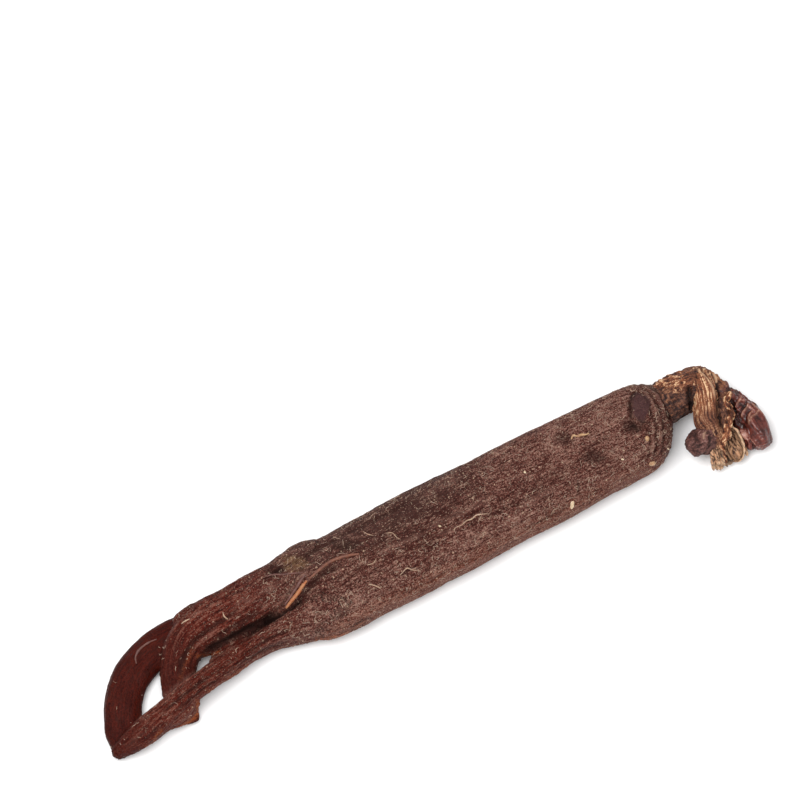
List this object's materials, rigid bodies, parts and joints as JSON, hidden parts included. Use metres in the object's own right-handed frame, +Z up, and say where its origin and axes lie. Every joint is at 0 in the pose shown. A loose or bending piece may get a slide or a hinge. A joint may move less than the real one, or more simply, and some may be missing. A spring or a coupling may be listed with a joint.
{
  "type": "red ginseng root",
  "caption": "Dried red ginseng root pressed flat: a blunt body, legs that fold over one another at one end, and a knobbed rhizome at the other.",
  "frame": {"origin": "centre of the root's outline on the table, under its middle", "axes": "+X along the root from its legs to its rhizome, +Z up from the table it lies on"},
  "size_m": [0.16, 0.0266, 0.0138],
  "materials": {
    "skin": "dry, finely wrinkled, faintly waxy red-brown skin"
  },
  "bodies": {
    "root": {"ginseng_root": "skin"}
  },
  "joints": []
}
